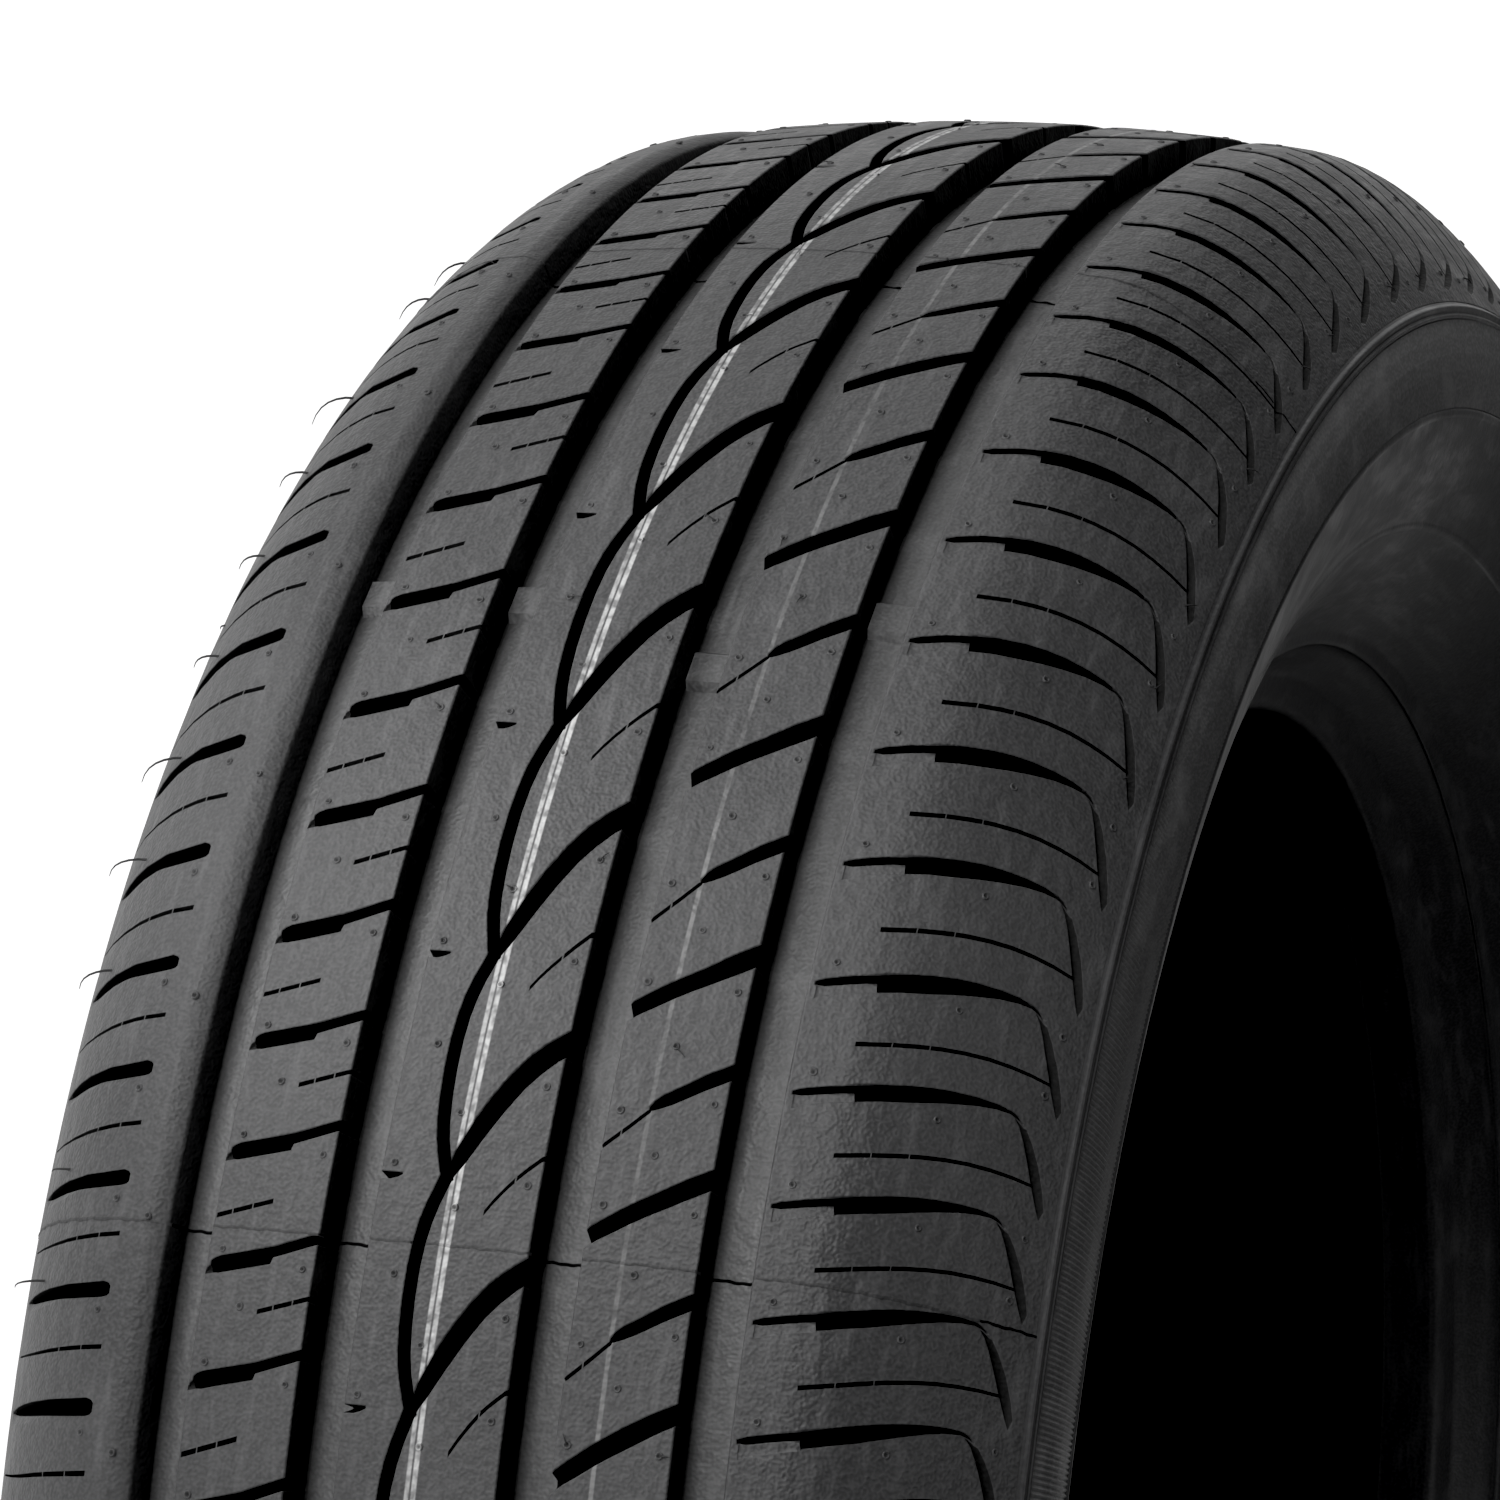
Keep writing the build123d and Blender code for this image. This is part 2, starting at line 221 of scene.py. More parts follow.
# notch in the left edge
cell.append(Stroke(U([(-17.0, -0.052, -0.020), (-13.4, -0.050, -0.020), (-12.0, -0.040, -0.020), (-11.0, -0.028, -0.021)]), 4.5, bevel=0.25, wall=(0.9, 0.2), foot=0.15))
cell += sipe([(7.1, -0.165), (8.8, -0.108), (10.6, -0.056), (12.6, -0.004), (14.4, 0.036), (17.0, 0.088), (19.0, 0.110)], 4.0, width=1.2, gaps=(12.4,))
# fourth rib
cell.append(Stroke(U([(26.2, 0.690, 0.768), (28.6, 0.739, 0.818), (30.6, 0.772, 0.852), (33.3, 0.808, 0.894), (36.3, 0.851, 0.938), (39.4, 0.891, 0.978),
                      (42.8, 0.931, 1.022), (46.1, 0.972, 1.066), (50.6, 1.025, 1.117), (54.4, 1.078, 1.165)]), SLOT, bevel=0.3, wall=0.3, foot=0.35))
cell.append(Stroke(U([(36.2, 0.346, 0.362), (37.0, 0.350, 0.390), (38.4, 0.362, 0.418), (40.6, 0.385, 0.448), (43.4, 0.421, 0.488), (46.1, 0.457, 0.528),
                      (50.6, 0.510, 0.582), (54.4, 0.552, 0.624)]), SLOT, bevel=0.3, wall=0.3, foot=0.35))
cell += sipe([(26.8, 0.138), (30.5, 0.216), (33.0, 0.268), (36.6, 0.349)], 4.0, width=1.2, gaps=(31.6,))
for k in (0.0, 0.5):
    # second rib: wide blind end with a ramp to the first groove, step, narrow mouth in the second groove
    cell.append(Stroke(U([(-48.4, k - 0.004, k + 0.030), (-47.7, k - 0.018, k + 0.045), (-46.6, k - 0.018, k + 0.056), (-35.6, k + 0.038, k + 0.112), (-35.2, k + 0.067, k + 0.114),
                          (-24.0, k + 0.155, k + 0.202)]), SLOT, bevel=0.2, wall=0.25, foot=0, lift=0))
    cell.append(Stroke(U([(-49.7, k - 0.030, k - 0.012), (-48.5, k - 0.024, k + 0.012), (-46.9, k - 0.016, k + 0.024)]), 1.0, bevel=0.2, wall=(0.7, 0.3), foot=0, lift=0))
    # left shoulder: rounded end, slot tapering to a tail with a flared lower side
    cell.append(Stroke(U([(-105.5, k - 0.178, k - 0.168), (-103.0, k - 0.181, k - 0.160), (-100.5, k - 0.184, k - 0.150), (-96.0, k - 0.184, k - 0.138), (-91.0, k - 0.182, k - 0.126),
                          (-83.0, k - 0.176, k - 0.111), (-71.9, k - 0.164, k - 0.094), (-70.7, k - 0.157, k - 0.101), (-70.2, k - 0.146, k - 0.112)]),
                       [0.9, 1.8, 2.9, 4.2, 5.4, SLOT, SLOT, SLOT, SLOT], bevel=0.15, wall=0.22, foot=0, lift=0))
    cell.append(Stroke(U([(-105.0, k - 0.206, k - 0.178), (-101.0, k - 0.222, k - 0.174), (-96.0, k - 0.217, k - 0.166), (-91.0, k - 0.204, k - 0.160), (-85.5, k - 0.181, k - 0.156)]),
                       [0.3, 0.6, 0.6, 0.5, 0.25], bevel=0.3, drop=0.05, wall=(1.6, 0.2), foot=0, lift=0))
    cell += sipe([(-106.0, k + 0.068), (-99.0, k + 0.070), (-92.0, k + 0.078), (-86.0, k + 0.090), (-78.0, k + 0.105), (-70.0, k + 0.12)], 3.4,
                 width=(0.4, 0.55, 0.75, 0.9, 1.0, 1.05), gaps=(-82.3, -75.3))
    # right shoulder: pointed narrow start, step, wide tapering slot whose end turns into the hook
    cell.append(Stroke(U([(63.2, k - 0.011, k + 0.002), (65.0, k - 0.012, k + 0.018), (70.0, k + 0.009, k + 0.042), (75.0, k + 0.030, k + 0.063), (75.3, k - 0.006, k + 0.065),
                          (80.0, k + 0.019, k + 0.093), (85.5, k + 0.047, k + 0.122), (90.0, k + 0.076, k + 0.143), (94.5, k + 0.104, k + 0.159), (99.7, k + 0.135, k + 0.172),
                          (104.0, k + 0.153, k + 0.177), (107.2, k + 0.158, k + 0.174), (109.2, k + 0.148, k + 0.160), (110.6, k + 0.128, k + 0.140)]),
                       [6.0, 6.2, 6.2, 6.2, SLOT, SLOT, SLOT, 6.0, 5.2, 3.8, 2.4, 1.5, 1.1, 0.9], bevel=0.25, wall=0.3, foot=0, lift=0))
    # ledge under its narrow start
    cell.append(Stroke(U([(63.6, k - 0.074, k - 0.012), (66.0, k - 0.056, k - 0.004), (70.0, k - 0.034, k + 0.012), (75.2, k - 0.012, k + 0.032)]),
                       0.3, bevel=0.1, drop=0.04, wall=(0.3, 0.1), foot=0, lift=0))
    # shallow hook that carries on from the slot's end
    hook = [(46.8, 118.0, 118.8), (49.0, 116.9, 118.9), (52.5, 115.3, 118.0), (57.8, 113.1, 115.9), (62.0, 111.2, 113.5), (64.6, 109.7, 111.5), (66.2, 108.2, 109.7), (67.3, 106.6, 107.9)]
    cell.append(Stroke([((s - 59.5) / 45.3 * P + k * P, lo, hi) for s, lo, hi in hook], [0.6, 1.0, 1.35, 1.4, 1.3, 1.2, 1.1, 1.0], across=False, bevel=0.15, drop=0.06,
                       wall=(0.22, 1.3), foot=0, lift=0))
    cell += sipe([(73.3, k + 0.245), (80.0, k + 0.276), (85.0, k + 0.301), (90.0, k + 0.325), (95.0, k + 0.345), (100.0, k + 0.36), (105.0, k + 0.368), (110.0, k + 0.371), (115.6, k + 0.367)],
                 3.2, width=(1.05, 1.05, 1.05, 1.0, 0.95, 0.95, 0.9, 0.85, 0.75), gaps=(80.2, 87.6))
# thin cuts of the second rib
cell += sipe([(-48.9, 0.73), (-37.2, 0.81)], 3.6, width=1.1, gaps=(-45.6, -41.4))
cell += sipe([(-36.7, 0.328), (-24.2, 0.416)], 3.6, width=1.1, gaps=(-33.4, -29.4))

# circumferential grooves: depth against a, and how much painted shade darkens the deep left wall and the floor beside
# it
GROOVES = [
    [(-65.4, 0, 0), (-64.3, 0.12, 0), (-60.7, 1.4, 0.024), (-60.1, 2.1, 0.040), (-59.45, 7.5, 0.05), (-59.0, 8.0, 0.040), (-55.6, 8.0, 0), (-51.2, 8.0, 0), (-50.75, 7.5, 0), (-49.5, 0.4, 0), (-49.1, 0, 0)],
    [(-26.4, 0, 0), (-26.05, 0.35, 0.005), (-25.3, 7.5, 0.12), (-24.8, 8.0, 0.045), (-22.2, 8.0, 0), (-17.1, 8.0, 0), (-16.7, 7.5, 0), (-15.55, 0.35, 0), (-15.2, 0, 0)],
    [(17.2, 0, 0), (17.55, 0.35, 0.005), (18.25, 7.5, 0.12), (18.7, 8.0, 0.045), (21.3, 8.0, 0), (26.6, 8.0, 0), (27.0, 7.5, 0), (28.15, 0.4, 0), (28.55, 0, 0)],
    [(50.7, 0, 0), (51.05, 0.35, 0.005), (51.75, 7.5, 0.12), (52.2, 8.0, 0.045), (54.8, 8.0, 0), (60.3, 8.0, 0), (60.75, 7.5, 0), (61.8, 0.6, 0), (62.5, 0, 0)],
]


def depth_at(a, s, cuts, grooves=True):
    out = np.zeros_like(a)
    for g in GROOVES if grooves else ():
        g = np.array(g)
        out = np.maximum(out, np.interp(a, g[:, 0], g[:, 1], left=0, right=0))
    for f in cuts:
        out = np.maximum(out, f.cut(a, s))
    return out


# ---- unit cell ---------------------------------------------------------------
cuts = []
for f in cell:
    lo, hi = (np.min(f.m - f.h), np.max(f.m + f.h)) if f.across else (f.t[0], f.t[-1])
    for n in (-2, -1, 0, 1, 2):
        if hi + n * P > -2.0 and lo + n * P < P + 2.0:
            cuts.append(f.moved(n * P))

pts, edges = [], []


def polyline(rows, close=False):
    b = len(pts)
    pts.extend((float(a), float(s)) for a, s in rows)
    m = len(rows)
    edges.extend((b + i, b + i + 1) for i in range(m - 1))
    if close:
        edges.append((b + m - 1, b))


STEPS = 8
for g in GROOVES:
    for a, _, _ in g:
        polyline([(a, P * i / STEPS) for i in range(STEPS + 1)])
for a in (A_L, A_R):
    polyline([(a, P * i / 16) for i in range(17)])
side = np.linspace(A_L, A_R, 41)
for s in (0.0, P):
    polyline([(a, s) for a in side])
seg0, seg1 = [], []
for f in cuts:
    for ring in f.rings():
        polyline(ring, True)
        seg0.append(ring)
        seg1.append(np.roll(ring, -1, 0))
seg0, seg1 = np.vstack(seg0), np.vstack(seg1)

# loose points that keep the plain surfaces even
GRID = 7.2
loose = []
for i, a in enumerate(np.arange(A_L + 4, A_R - 2, GRID * 0.9)):
    for j in range(8):
        loose.append((a, (j + 0.25 + 0.5 * (i % 2)) * P / 8))
loose = np.array(loose)
d = seg1 - seg0
L2 = np.maximum((d ** 2).sum(1), 1e-9)
keep = np.ones(len(loose), bool)
for i, q in enumerate(loose):
    t = np.clip(((q - seg0) * d).sum(1) / L2, 0, 1)
    near = np.min(((seg0 + t[:, None] * d - q) ** 2).sum(1))
    lines = min(abs(q[0] - a) for g in GROOVES for a, _, _ in g)
    inside = any(g[0][0] < q[0] < g[-1][0] for g in GROOVES)
    keep[i] = near > 1.7 ** 2 and lines > 1.7 and not inside and min(q[1], P - q[1]) > 1.5
pts.extend((float(a), float(s)) for a, s in loose[keep])

cv, ce, cf, _, _, _ = delaunay_2d_cdt([Vector(p) for p in pts], edges, [], 0, 1e-4, False)
cv = np.array([tuple(v) for v in cv], float)
cf = np.array([tuple(f) for f in cf], int)
mid = cv[cf].mean(1)
cf = cf[(mid[:, 1] > 0) & (mid[:, 1] < P) & (mid[:, 0] > A_L) & (mid[:, 0] < A_R)]
e1, e2 = cv[cf[:, 1]] - cv[cf[:, 0]], cv[cf[:, 2]] - cv[cf[:, 0]]
area = e1[:, 0] * e2[:, 1] - e1[:, 1] * e2[:, 0]
cf = cf[np.abs(area) > 1e-7]
area = area[np.abs(area) > 1e-7]
cf[area < 0] = cf[area < 0][:, ::-1]
used = np.unique(cf)
new = -np.ones(len(cv), int)
new[used] = np.arange(len(used))
cv, cf = cv[used], new[cf]
ca, cs = cv[:, 0], cv[:, 1]
cdep = depth_at(ca, cs, cuts)
cdeep = depth_at(ca, cs, cuts, False)
cgrv = cdep - 1e-6 > cdeep
# painted shade: the deeper a stroke cuts, the darker its inside is painted; inside the grooves the grooves' painted
# shade column is used instead
cshade = np.clip((cdeep - 1.45) / 2.0, 0, 1) + np.clip((cdeep - 0.7) / 0.25, 0, 1) * 0.1
for g in GROOVES:
    g = np.array(g)
    cshade = np.where(cgrv & (ca > g[0, 0]) & (ca < g[-1, 0]), np.interp(ca, g[:, 0], g[:, 2]), cshade)
left, right = np.where(np.abs(cs) < 2e-3)[0], np.where(np.abs(cs - P) < 2e-3)[0]
left, right = left[np.argsort(ca[left])], right[np.argsort(ca[right])]
print("cell", len(cv), "points", len(cf), "triangles; seam", len(left), len(right))

# join each cell's right seam to the next cell's left seam by nearest position
partner = np.array([left[np.argmin(np.abs(ca[left] - ca[r]))] for r in right])
free = np.ones(len(cv), bool)
free[right] = False
slot_of = -np.ones(len(cv), int)
slot_of[free] = np.arange(free.sum())
per = int(free.sum())
faces, A_all, S_all, D_all, shade_all = [], [], [], [], []
for n in range(N):
    ids = slot_of + n * per
    ids[right] = slot_of[partner] + ((n + 1) % N) * per
    faces.append(ids[cf])
    A_all.append(ca[free])
    S_all.append(n + cs[free] / P)
    D_all.append(cdep[free])
    shade_all.append(cshade[free])
faces = np.vstack(faces)
A_all, S_all, D_all, shade_all = map(np.concatenate, (A_all, S_all, D_all, shade_all))
ok = (faces[:, 0] != faces[:, 1]) & (faces[:, 1] != faces[:, 2]) & (faces[:, 0] != faces[:, 2])
faces = faces[ok]


def place(a, u, depth):
    """points on the tread surface, sunk by depth, in metres"""
    y, r, ny, nr = surf(a)
    R, Y, ph = r - depth * nr, y - depth * ny, phase(u)
    return np.stack([R * np.cos(ph), -R * np.sin(ph), Y + WIDE_Y], 1) / 1000


# ---- mesh helpers ------------------------------------------------------------
def make(name, co, tris, smooth=True, mat=None):
    me = bpy.data.meshes.new(name)
    me.from_pydata(co.tolist(), [], tris.tolist())
    me.update()
    ob = bpy.data.objects.new(name, me)
    bpy.context.scene.collection.objects.link(ob)
    if smooth:
        me.polygons.foreach_set("use_smooth", np.ones(len(me.polygons), bool))
    if mat:
        me.materials.append(mat)
    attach(ob, "root")
    return ob


def paint_darkening(ob, values):
    """per point value that the tread material reads to darken the surface towards black: painted shade inside cuts,
    vent dips and seams, and an even darkening of the whiskers
    """
    attr = ob.data.attributes.new("cut", "FLOAT", "POINT")
    attr.data.foreach_set("value", np.asarray(values, np.float32))


def weighted(co, tris, outward=None):
    """area weighted normals of a triangle mesh"""
    n = np.cross(co[tris[:, 1]] - co[tris[:, 0]], co[tris[:, 2]] - co[tris[:, 0]])
    out = np.zeros_like(co)
    for i in range(3):
        np.add.at(out, tris[:, i], n)
    l = np.linalg.norm(out, axis=1)
    return out / np.maximum(l, 1e-12)[:, None]


def set_normals(ob, normals):
    ob.data.normals_split_custom_set_from_vertices(normals.tolist())


def outward(co, tris):
    """turn the triangles so that they face away from the ring's inside line"""
    c = co[tris].mean(1)
    n = np.cross(co[tris[:, 1]] - co[tris[:, 0]], co[tris[:, 2]] - co[tris[:, 0]])
    rad = c.copy()
    rad[:, 2] = 0
    s = (n * rad).sum(1).sum()
    return tris[:, ::-1] if s < 0 else tris


# ---- materials ---------------------------------------------------------------
def rubber(name, dark, light, rough, grain, tread, shine=0.32, paint=True):
    """procedural moulded rubber; tread adds the painted bands and the painted shade that the cut value asks for"""
    mat = bpy.data.materials.new(name)
    mat.use_nodes = True
    nt = mat.node_tree
    nt.nodes.clear()
    new, link = nt.nodes.new, nt.links.new

    def math_node(op, a, b=None, c=None):
        n = new("ShaderNodeMath")
        n.operation = op
        for i, v in enumerate((a, b, c)):
            if v is None:
                continue
            if isinstance(v, (int, float)):
                n.inputs[i].default_value = v
            else:
                link(v, n.inputs[i])
        return n.outputs[0]

    def noise(scale, detail=4.0, roughness=0.6, vector=None):
        n = new("ShaderNodeTexNoise")
        n.inputs["Scale"].default_value = scale
        n.inputs["Detail"].default_value = detail
        n.inputs["Roughness"].default_value = roughness
        link(vector or tc.outputs["Object"], n.inputs["Vector"])
        return n.outputs["Fac"]

    def ramp(fac, lo, hi, a, b):
        n = new("ShaderNodeMapRange")
        n.clamp = True
        link(fac, n.inputs["Value"])
        for k, v in (("From Min", lo), ("From Max", hi), ("To Min", a), ("To Max", b)):
            n.inputs[k].default_value = v
        return n.outputs[0]

    def mix(fac, a, b):
        n = new("ShaderNodeMix")
        n.data_type = "RGBA"
        for sock, v in ((n.inputs["Factor"], fac), (n.inputs["A"], a), (n.inputs["B"], b)):
            if isinstance(v, (int, float)):
                sock.default_value = v
            elif isinstance(v, tuple):
                sock.default_value = v
            else:
                link(v, sock)
        return n.outputs["Result"]

    out = new("ShaderNodeOutputMaterial")
    bsdf = new("ShaderNodeBsdfPrincipled")
    link(bsdf.outputs[0], out.inputs["Surface"])
    tc = new("ShaderNodeTexCoord")
    xyz = new("ShaderNodeSeparateXYZ")
    link(tc.outputs["Object"], xyz.inputs[0])
    x, y, z = xyz.outputs
    rad = math_node("SQRT", math_node("ADD", math_node("MULTIPLY", x, x), math_node("MULTIPLY", y, y)))
    ax = math_node("SUBTRACT", z, WIDE_Y / 1000)

    cloud = noise(14.0, 2.0, 0.62)
    fine = noise(1350.0, 0.0, 0.5)
    streak_map = new("ShaderNodeMapping")
    streak_map.inputs["Scale"].default_value = (1.0, 1.0, 6.0)
    link(tc.outputs["Object"], streak_map.inputs["Vector"])
    smear = noise(60.0, 2.0, 0.65, streak_map.outputs[0])
    base = mix(ramp(cloud, 0.35, 0.7, 0.0, 1.0), (*dark, 1), (*light, 1))
    base = mix(ramp(fine, 0.35, 0.75, 0.0, 0.35), base, (*[min(1, c * 1.9) for c in light], 1))
    base = mix(ramp(smear, 0.52, 0.76, 0.0, 0.42), base, (light[0] * 2.4, light[1] * 2.4, light[2] * 2.4, 1))
    r_val = math_node("ADD", ramp(cloud, 0.3, 0.7, rough - 0.07, rough + 0.07), ramp(smear, 0.35, 0.7, -0.07, 0.07))
    height = math_node("ADD", fine, math_node("MULTIPLY", noise(400.0, 0.0, 0.5), 1.5))

    if tread:
        def band(lo, hi, least, soft=0.00014):
            up = ramp(ax, lo - soft, lo + soft, 0.0, 1.0)
            dn = ramp(ax, hi - soft, hi + soft, 1.0, 0.0)
            return math_node("MULTIPLY", math_node("MULTIPLY", up, dn), math_node("GREATER_THAN", rad, least))

        wear = ramp(noise(420.0, 1.0, 0.7), 0.34, 0.56, 0.35, 1.0)
        patch = ramp(cloud, 0.40, 0.62, 0.35, 1.0)
        white = math_node("MULTIPLY", math_node("ADD", math_node("MULTIPLY", band(-0.0008, 0.0001, 0.33792), 0.8), band(0.0005, 0.0015, 0.33792)), wear)
        grey = math_node("MULTIPLY", band(0.0359, 0.0368, 0.33655), math_node("MULTIPLY", wear, patch))
        if not paint:
            white = grey = 0.0
        base = mix(white, base, (0.42, 0.42, 0.42, 1))
        base = mix(grey, base, (0.17, 0.17, 0.17, 1))
        # painted shade: the per point cut value mixes the base colour towards near black and roughens it
        inside = new("ShaderNodeAttribute")
        inside.attribute_name = "cut"
        deep = ramp(inside.outputs["Fac"], 0.0, 0.06, 0.0, 1.0)
        base = mix(deep, base, (0.0012, 0.0012, 0.0012, 1))
        r_val = math_node("ADD", r_val, math_node("MULTIPLY", deep, 0.45))
    link(base, bsdf.inputs["Base Color"])
    link(r_val, bsdf.inputs["Roughness"])
    bump = new("ShaderNodeBump")
    bump.inputs["Strength"].default_value = grain
    bump.inputs["Distance"].default_value = 0.0004
    link(height, bump.inputs["Height"])
    link(bump.outputs[0], bsdf.inputs["Normal"])
    bsdf.inputs["IOR"].default_value = 1.5
    bsdf.inputs["Specular IOR Level"].default_value = shine
    return mat


tread_mat = rubber("rubber_tread", (0.034, 0.034, 0.035), (0.050, 0.050, 0.051), 0.53, 0.45, True)
side_mat = rubber("rubber_side", (0.026, 0.026, 0.027), (0.036, 0.036, 0.037), 0.46, 0.12, False, 0.4)
# serrated band: the same rubber painted about three times as light as the sidewall, a painted sheen
band_sheen_mat = rubber("rubber_band_sheen", (0.085, 0.085, 0.086), (0.110, 0.110, 0.111), 0.5, 0.12, False, 0.4)
liner_mat = rubber("rubber_liner", (0.010, 0.010, 0.011), (0.016, 0.016, 0.017), 0.62, 0.30, False, 0.3)
# groove floors and wear bars: smoother, glossier rubber whose lighter base colour paints in the light the floors
# catch
groove_lightened_mat = rubber("rubber_groove_lightened", (0.050, 0.050, 0.051), (0.070, 0.070, 0.071), 0.47, 0.35, True, 0.48, False)
# near-black and dim copies of the rubber: painted shade on the walls of slots and cuts, the grooves' left walls, the
# hook and the seams' cracks
dim_shade_mat = rubber("rubber_shade_dim", (0.010, 0.010, 0.010), (0.016, 0.016, 0.016), 0.7, 0.3, False, 0.14)
black_shade_mat = rubber("rubber_shade_black", (0.0016, 0.0016, 0.0017), (0.0030, 0.0030, 0.0031), 0.8, 0.1, False, 0.1)

# ---- tread piece -------------------------------------------------------------
co = place(A_all, S_all, D_all)
faces = outward(co, faces)
tread = make("tread", co, faces, mat=tread_mat)
nrm = weighted(co, faces)
_, _, ny_, nr_ = surf(A_all)
ph_ = phase(S_all)
plain = (D_all < 0.02) | (np.abs(D_all - 8.0) < 1e-6)
nrm[plain] = np.stack([nr_ * np.cos(ph_), -nr_ * np.sin(ph_), ny_], 1)[plain]
set_normals(tread, nrm)
paint_darkening(tread, shade_all)
tread.data.materials.append(black_shade_mat)
tread.data.materials.append(dim_shade_mat)
most_shade = shade_all[faces].max(1)
tread.data.materials.append(groove_lightened_mat)
low_ = (D_all[faces].min(1) > 7.4) & (most_shade < 0.07)
# faces by their painted shade: strong shade gets the black copy, milder shade the dim copy, and the groove floors the
# lightened groove rubber
tread.data.polygons.foreach_set("material_index", np.where(most_shade > 0.2, 1, np.where(most_shade > 0.07, 2, np.where(low_, 3, 0))).astype(np.int32))
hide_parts("tyre")


# ---- casing: sidewalls, beads and inside, turned from one section -------------
def catmull(p, n):
    p = np.array(p, float)
    q = np.vstack([2 * p[0] - p[1], p, 2 * p[-1] - p[-2]])
    out = []
    for i in range(1, len(q) - 2):
        for t in np.linspace(0, 1, n, endpoint=False):
            a, b, c, e = q[i - 1], q[i], q[i + 1], q[i + 2]
            out.append(0.5 * (2 * b + (c - a) * t + (2 * a - 5 * b + 4 * c - e) * t * t + (3 * b - a - 3 * c + e) * t ** 3))
    out.append(q[-2])
    return np.array(out)


def normal_of(curve):
    t = np.gradient(curve, axis=0)
    t /= np.linalg.norm(t, axis=1)[:, None]
    return np.stack([-t[:, 1], t[:, 0]], 1)      # (y, r), to the left of the way


# from the shoulder's end over the widest point to the bead, as (y, r)
LOW = [(109.2, 274.0), (106.0, 263.5), (101.0, 252.3), (94.2, 241.3), (86.0, 231.3), (77.6, 223.2)]
SIDE = {1: [RIDGE[1], (108.6, 296.2), (109.7, 291.5), (WIDE_Y, 284.5)] + LOW, -1: [RIDGE[-1], (106.0, 295.4), (108.5, 289.9), (WIDE_Y, 282.5)] + LOW}
WALL = {}
for sgn in (1, -1):
    curve = catmull(SIDE[sgn], 24)
    arc = np.r_[0, np.cumsum(np.linalg.norm(np.diff(curve, axis=0), axis=1))]
    nrm = normal_of(curve)
    WALL[sgn] = (curve, arc, nrm * np.sign(nrm[:, :1]))          # outwards is away from the mid plane


def on_side(b, up=0.0, sgn=1):
    """point on the sidewall b mm below the shoulder's end along the surface, raised by up"""
    curve, arc, nrm = WALL[sgn]
    p = np.array([np.interp(b, arc, curve[:, i]) for i in (0, 1)])
    n = np.array([np.interp(b, arc, nrm[:, i]) for i in (0, 1)])
    return p + n / np.linalg.norm(n) * up


# relief down the sidewall: (distance below the shoulder's end, height)
RIB = {1: [(-0.1, 0.05), (0.2, 0.12), (0.5, 0.5), (0.85, 0.78), (1.25, 0.78), (1.6, 0.42), (2.05, 0.0), (2.25, -0.2), (2.5, 0.1), (2.75, 0.3), (3.15, 0.3), (3.4, 0.0), (3.7, -0.55)],
       -1: [(-0.1, 0.0), (0.3, 0.2), (0.8, 0.35), (1.3, 0.35), (1.8, 0.15), (2.3, 0.0), (3.2, 0.0), (3.7, -0.55)]}
BAND = (3.5, 24.5)                                                # serrated band, from and to
WALL_ROWS = [(9.0, -0.6), (15.0, -0.6), (20.0, -0.6), (24.2, -0.6), (24.6, 0.0), (25.0, 0.22), (25.6, 0.3), (26.2, 0.22), (26.7, 0.0), (30.0, 0.0),
             (33.0, 0.0), (37.0, 0.0), (41.0, 0.0), (45.0, 0.0), (49.0, 0.0), (53.0, 0.0), (53.5, 0.3), (54.0, 0.5), (54.7, 0.5), (55.2, 0.3), (55.7, 0.0),
             (60.0, 0.0), (64.0, 0.0), (68.0, 0.0), (72.0, 0.0), (76.0, 0.0)]
BEAD = [(77.6, 223.2), (76.9, 221.6), (76.7, 220.3), (76.2, 219.2), (75.4, 218.8), (74.6, 219.2), (72.0, 217.4), (68.6, 214.8), (66.2, 212.9),
        (65.1, 211.6), (64.6, 210.6), (63.9, 207.6), (63.4, 206.2), (62.9, 204.9), (62.2, 203.9), (61.2, 203.1), (60.0, 202.8), (57.0, 202.8), (52.0, 202.8),
        (48.6, 202.8), (47.5, 203.1), (47.0, 203.9), (47.3, 204.9)]


def outside(sgn):
    """one side's section from under the tread's edge to the bead toe, drawn as on the right"""
    rows = []
    for back, sink in ((1.5, 0.7), (-0.1, 0.12)):
        y, r, ny, nr = (float(q[0]) for q in surf(np.array([sgn * (A_END[sgn] - back)])))
        rows.append((sgn * (y - sink * ny), r - sink * nr))
    rows += [tuple(on_side(b, h, sgn)) for b, h in RIB[sgn] + WALL_ROWS if b < WALL[sgn][1][-1] - 0.5]
    return rows + BEAD


INNER = [(48.6, 207.0), (54.0, 213.2), (62.0, 219.6), (72.5, 228.9), (82.0, 239.3), (90.0, 250.0),
         (96.0, 261.0), (99.8, 272.0), (100.2, 282.5), (96.2, 292.5), (88.0, 302.0), (76.0, 311.0), (60.0, 317.4), (38.0, 321.2), (0.0, 322.6)]
in_half = [tuple(q) for q in catmull(INNER, 3)]
M = 480


